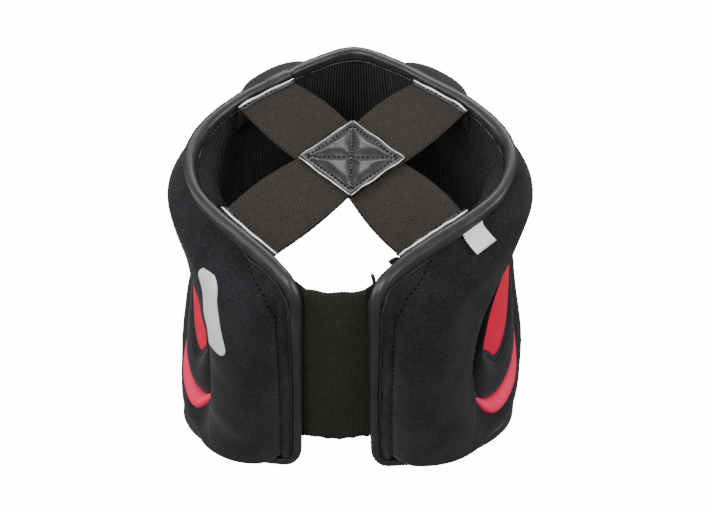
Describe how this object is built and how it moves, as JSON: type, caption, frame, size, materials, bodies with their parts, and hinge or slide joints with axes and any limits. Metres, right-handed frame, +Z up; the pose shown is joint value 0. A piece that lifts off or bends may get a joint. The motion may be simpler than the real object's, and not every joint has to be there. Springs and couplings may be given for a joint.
{
  "type": "wrestling ear guard",
  "caption": "Soft padded wrestling ear guard of black neoprene with red ear windows, elastic straps crossing over the head and a wide elastic band closing the back.",
  "frame": {"origin": "centre of the box round the part, on the floor it stands on", "axes": "+X to the wearer's right as seen from the back, +Y towards the forehead, +Z up through the crown"},
  "size_m": [0.1928, 0.1859, 0.1587],
  "materials": {
    "neoprene": "matte, smooth-faced padded neoprene",
    "knit": "matte ribbed knit",
    "vinyl": "semi-gloss grained vinyl",
    "elastic": "matte woven elastic",
    "red_foam": "satin",
    "label_satin": "satin ribbon",
    "reflective": "satin printed film"
  },
  "bodies": {
    "root": {"outer_shell": "neoprene", "inner_lining": "knit", "edge_binding": "vinyl", "ear_frame_left": "neoprene", "ear_window_left": "red_foam", "ear_band_left": "red_foam", "ear_frame_right": "neoprene", "ear_window_right": "red_foam", "ear_band_right": "red_foam", "cross_strap_lower": "elastic", "cross_strap_upper": "elastic", "centre_patch": "vinyl", "rear_band": "elastic", "size_label": "label_satin", "reflective_bar": "reflective"}
  },
  "joints": []
}
